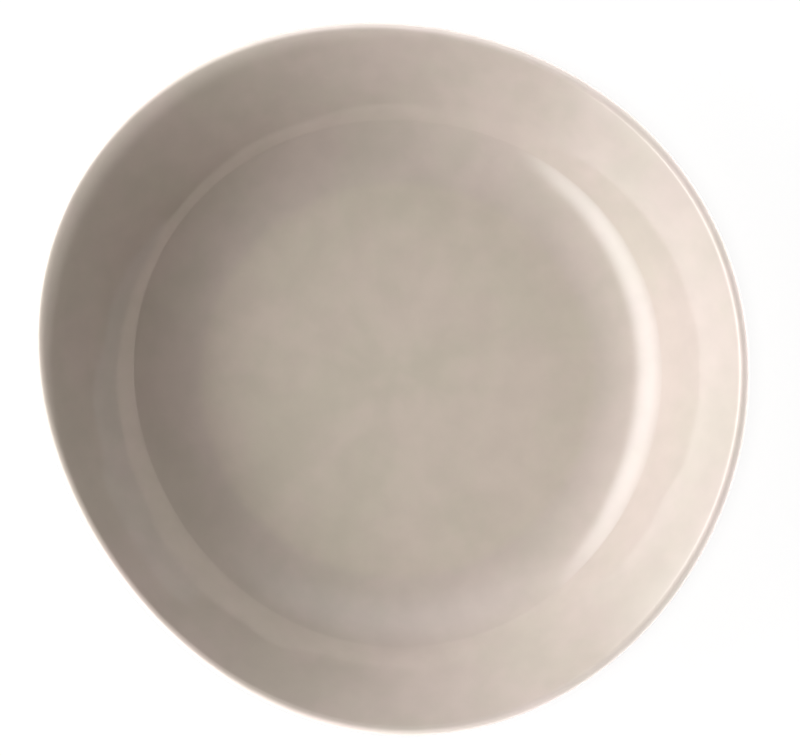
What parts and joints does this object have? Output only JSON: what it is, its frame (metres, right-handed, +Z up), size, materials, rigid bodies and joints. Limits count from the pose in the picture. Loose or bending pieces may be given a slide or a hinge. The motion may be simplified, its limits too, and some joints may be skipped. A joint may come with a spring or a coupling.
{
  "type": "deep plate",
  "caption": "Deep plate with a round flat-floored well, a sloping wall, a softly lobed free-form rim with a rounded lip, and a bare foot ring; holds pasta, soup or salad.",
  "frame": {"origin": "on the table, under the middle of the rim's bounding box", "axes": "+Z up out of the plate, +X to the picture's right, +Y to the picture's top"},
  "size_m": [0.2506, 0.2499, 0.0451],
  "materials": {
    "bare_porcelain": "matte",
    "coat_glaze": "gloss",
    "recess_glaze": "gloss"
  },
  "bodies": {
    "root": {"porcelain_body": "bare_porcelain", "glaze_coat": "coat_glaze", "foot_recess_glaze": "recess_glaze"}
  },
  "joints": []
}
